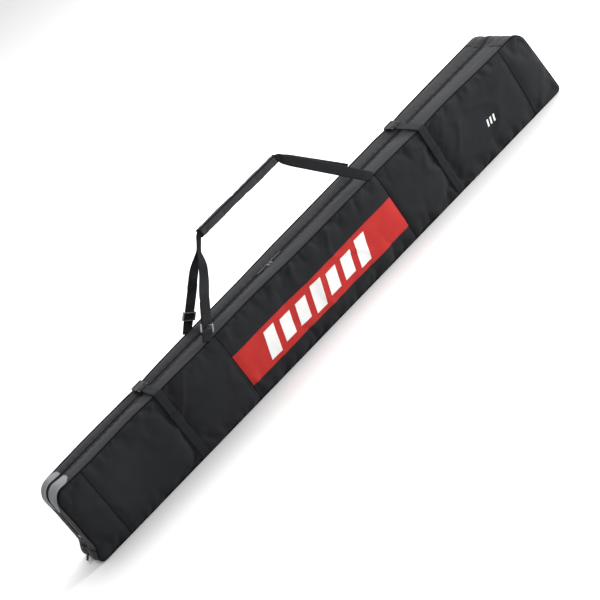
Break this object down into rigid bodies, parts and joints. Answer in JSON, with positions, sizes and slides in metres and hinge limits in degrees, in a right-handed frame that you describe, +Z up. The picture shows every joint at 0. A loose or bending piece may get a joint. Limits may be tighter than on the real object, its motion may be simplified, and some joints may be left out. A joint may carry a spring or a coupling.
{
  "type": "ski bag",
  "caption": "Long padded soft bag for skis with a full-length top zip, two buckled compression straps, a red front label and a webbing carrying handle with padded grip.",
  "frame": {"origin": "middle of the bag's bottom face, on the surface that it rests on", "axes": "+X along the bag to its deeper end, +Y from the labelled front to the rear, +Z up to the zip and the handle"},
  "size_m": [1.9134, 0.1816, 0.4625],
  "materials": {
    "charcoal_cloth": "matt woven polyester",
    "gusset_cloth": "matt woven polyester",
    "patch_cloth": "matt coated cloth",
    "red_cloth": "matt printed cloth",
    "white_print": "matt print",
    "webbing": "ribbed webbing",
    "piping": "woven binding over cord",
    "foam": "closed-cell foam",
    "lining": "thin lining cloth",
    "zip_tape": "woven tape",
    "zip_chain": "moulded coil",
    "slider_metal": "black enamel with bright edges",
    "pull_cloth": "moulded",
    "buckle_plastic": "satin acetal",
    "hardware_metal": "black enamel with bright edges",
    "grip_cloth": "padded cloth",
    "elastic": "knitted elastic"
  },
  "bodies": {
    "bag": {"front_centre_panel": "charcoal_cloth", "front_left_panel": "charcoal_cloth", "front_right_panel": "charcoal_cloth", "front_left_end_panel": "charcoal_cloth", "front_right_end_panel": "charcoal_cloth", "front_foam": "foam", "front_lining": "lining", "rear_panel": "charcoal_cloth", "rear_foam": "foam", "rear_lining": "lining", "bottom_panel": "gusset_cloth", "left_end_gusset_front": "gusset_cloth", "left_end_gusset_rear": "gusset_cloth", "right_end_gusset_front": "gusset_cloth", "right_end_gusset_rear": "gusset_cloth", "front_piping": "piping", "rear_piping": "piping", "red_label": "red_cloth", "left_end_zip": "zip_chain", "right_end_zip": "zip_chain", "corner_patches": "patch_cloth", "corner_tab": "webbing", "left_strap": "webbing", "right_strap": "webbing", "left_strap_tail": "webbing", "right_strap_tail": "webbing", "strap_keepers": "elastic", "left_rear_strap": "webbing", "right_rear_strap": "webbing", "left_buckle_female": "buckle_plastic", "right_buckle_female": "buckle_plastic", "handle_anchor_front_right": "webbing", "handle_anchor_rear_right": "webbing", "handle_anchor_front_left": "webbing", "handle_anchor_rear_left": "webbing", "handle_tab": "webbing"},
    "front_flap": {"front_flap": "gusset_cloth", "front_zip_tape": "zip_tape", "front_zip_chain": "zip_chain"},
    "rear_flap": {"rear_flap": "gusset_cloth", "rear_zip_tape": "zip_tape", "rear_zip_chain": "zip_chain"},
    "left_slider": {"left_slider": "slider_metal"},
    "right_slider": {"right_slider": "slider_metal"},
    "corner_slider": {"corner_slider": "slider_metal"},
    "left_pull": {"left_pull": "pull_cloth"},
    "right_pull": {"right_pull": "pull_cloth"},
    "corner_pull": {"corner_pull": "pull_cloth"},
    "left_buckle_male": {"left_buckle_male": "buckle_plastic"},
    "left_prong_a": {"left_prong_a": "buckle_plastic"},
    "left_prong_b": {"left_prong_b": "buckle_plastic"},
    "right_buckle_male": {"right_buckle_male": "buckle_plastic"},
    "right_prong_a": {"right_prong_a": "buckle_plastic"},
    "right_prong_b": {"right_prong_b": "buckle_plastic"},
    "handle": {"front_handle_webbing": "webbing", "rear_handle_webbing": "webbing", "grip_wrap": "grip_cloth"},
    "handle_ring": {"handle_ring": "hardware_metal"},
    "strap_adjuster": {"strap_adjuster": "hardware_metal"}
  },
  "joints": [
    {"name": "front_flap_fold", "type": "hinge", "parent": "bag", "child": "front_flap", "pos_m": [0, -0.06405, 0.237], "axis": [-0.9998, 0.0197, 0], "range_deg": [0, 82]},
    {"name": "rear_flap_fold", "type": "hinge", "parent": "bag", "child": "rear_flap", "pos_m": [0, 0.06405, 0.237], "axis": [0.9998, 0.0197, 0], "range_deg": [0, 80]},
    {"name": "left_slider_slide", "type": "slide", "parent": "front_flap", "child": "left_slider", "axis": [1, 0.0039, -0.0017], "range_m": [-0.765, 0]},
    {"name": "right_slider_slide", "type": "slide", "parent": "front_flap", "child": "right_slider", "axis": [1, 0.0039, -0.0017], "range_m": [0, 0.9]},
    {"name": "left_pull_lift", "type": "hinge", "parent": "left_slider", "child": "left_pull", "pos_m": [-0.076, 0.01395, 0.23583], "axis": [-0.0039, 1, 0], "range_deg": [0, 150]},
    {"name": "right_pull_lift", "type": "hinge", "parent": "right_slider", "child": "right_pull", "pos_m": [-0.049, 0.01406, 0.23578], "axis": [0.0039, -1, 0], "range_deg": [0, 150]},
    {"name": "corner_slider_slide", "type": "slide", "parent": "bag", "child": "corner_slider", "axis": [0, 0, 1], "range_m": [0, 0.11]},
    {"name": "corner_pull_lift", "type": "hinge", "parent": "corner_slider", "child": "corner_pull", "pos_m": [-0.9521, 0.01051, 0.065], "axis": [0, 1, 0], "range_deg": [0, 150]},
    {"name": "left_buckle_release", "type": "slide", "parent": "bag", "child": "left_buckle_male", "axis": [0, -1, 0], "range_m": [0, 0.024]},
    {"name": "left_prong_a_squeeze", "type": "hinge", "parent": "left_buckle_male", "child": "left_prong_a", "pos_m": [-0.5745, 0.0167, 0.2445], "axis": [0, 0, -1], "range_deg": [0, 8], "stiffness_Nm_per_rad": 0.4},
    {"name": "left_prong_b_squeeze", "type": "hinge", "parent": "left_buckle_male", "child": "left_prong_b", "pos_m": [-0.5555, 0.0167, 0.2445], "axis": [0, 0, 1], "range_deg": [0, 8], "stiffness_Nm_per_rad": 0.4},
    {"name": "right_buckle_release", "type": "slide", "parent": "bag", "child": "right_buckle_male", "axis": [0, -1, 0], "range_m": [0, 0.024]},
    {"name": "right_prong_a_squeeze", "type": "hinge", "parent": "right_buckle_male", "child": "right_prong_a", "pos_m": [0.5005, 0.03792, 0.2445], "axis": [0, 0, -1], "range_deg": [0, 8], "stiffness_Nm_per_rad": 0.4},
    {"name": "right_prong_b_squeeze", "type": "hinge", "parent": "right_buckle_male", "child": "right_prong_b", "pos_m": [0.5195, 0.03792, 0.2445], "axis": [0, 0, 1], "range_deg": [0, 8], "stiffness_Nm_per_rad": 0.4},
    {"name": "handle_swing", "type": "hinge", "parent": "bag", "child": "handle", "pos_m": [0, 0, 0.25], "axis": [1, 0, 0], "range_deg": [-34, 34]},
    {"name": "ring_tilt", "type": "hinge", "parent": "bag", "child": "handle_ring", "pos_m": [-0.35071, -0.05774, 0.258], "axis": [0.7543, -0.0231, -0.6561], "range_deg": [-30, 30]},
    {"name": "adjuster_slide", "type": "slide", "parent": "bag", "child": "strap_adjuster", "axis": [0.6256, -0.2195, 0.7486], "range_m": [-0.01, 0.045]}
  ],
  "couplings": [
    {"joint": "left_prong_b_squeeze", "follows": "left_prong_a_squeeze", "ratio": 1},
    {"joint": "right_prong_b_squeeze", "follows": "right_prong_a_squeeze", "ratio": 1},
    {"joint": "ring_tilt", "follows": "handle_swing", "ratio": 0.7}
  ]
}
